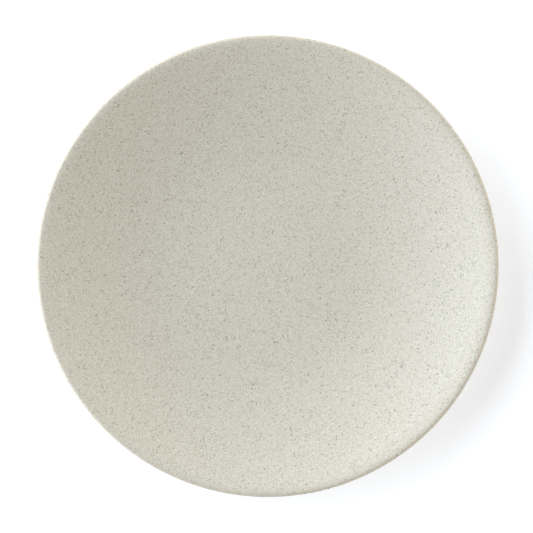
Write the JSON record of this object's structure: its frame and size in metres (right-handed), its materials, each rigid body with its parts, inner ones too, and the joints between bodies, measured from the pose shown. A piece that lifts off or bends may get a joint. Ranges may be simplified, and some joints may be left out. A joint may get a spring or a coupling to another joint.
{
  "type": "tapas plate",
  "caption": "Small round coupe plate in speckled satin-glazed stoneware, with a flat well, a rising wall, a rolled lip and a bare foot ring, for serving small dishes.",
  "frame": {"origin": "centre of the foot ring, on the ground that the plate stands on", "axes": "+Z is the plate's axis of revolution, pointing up out of the well; X and Y lie in the ground plane and are alike"},
  "size_m": [0.18, 0.18, 0.0205],
  "materials": {
    "bare_stoneware": "matte",
    "speckled_glaze": "satin"
  },
  "bodies": {
    "root": {"stoneware_body": "bare_stoneware", "face_glaze": "speckled_glaze", "base_glaze": "speckled_glaze"}
  },
  "joints": []
}
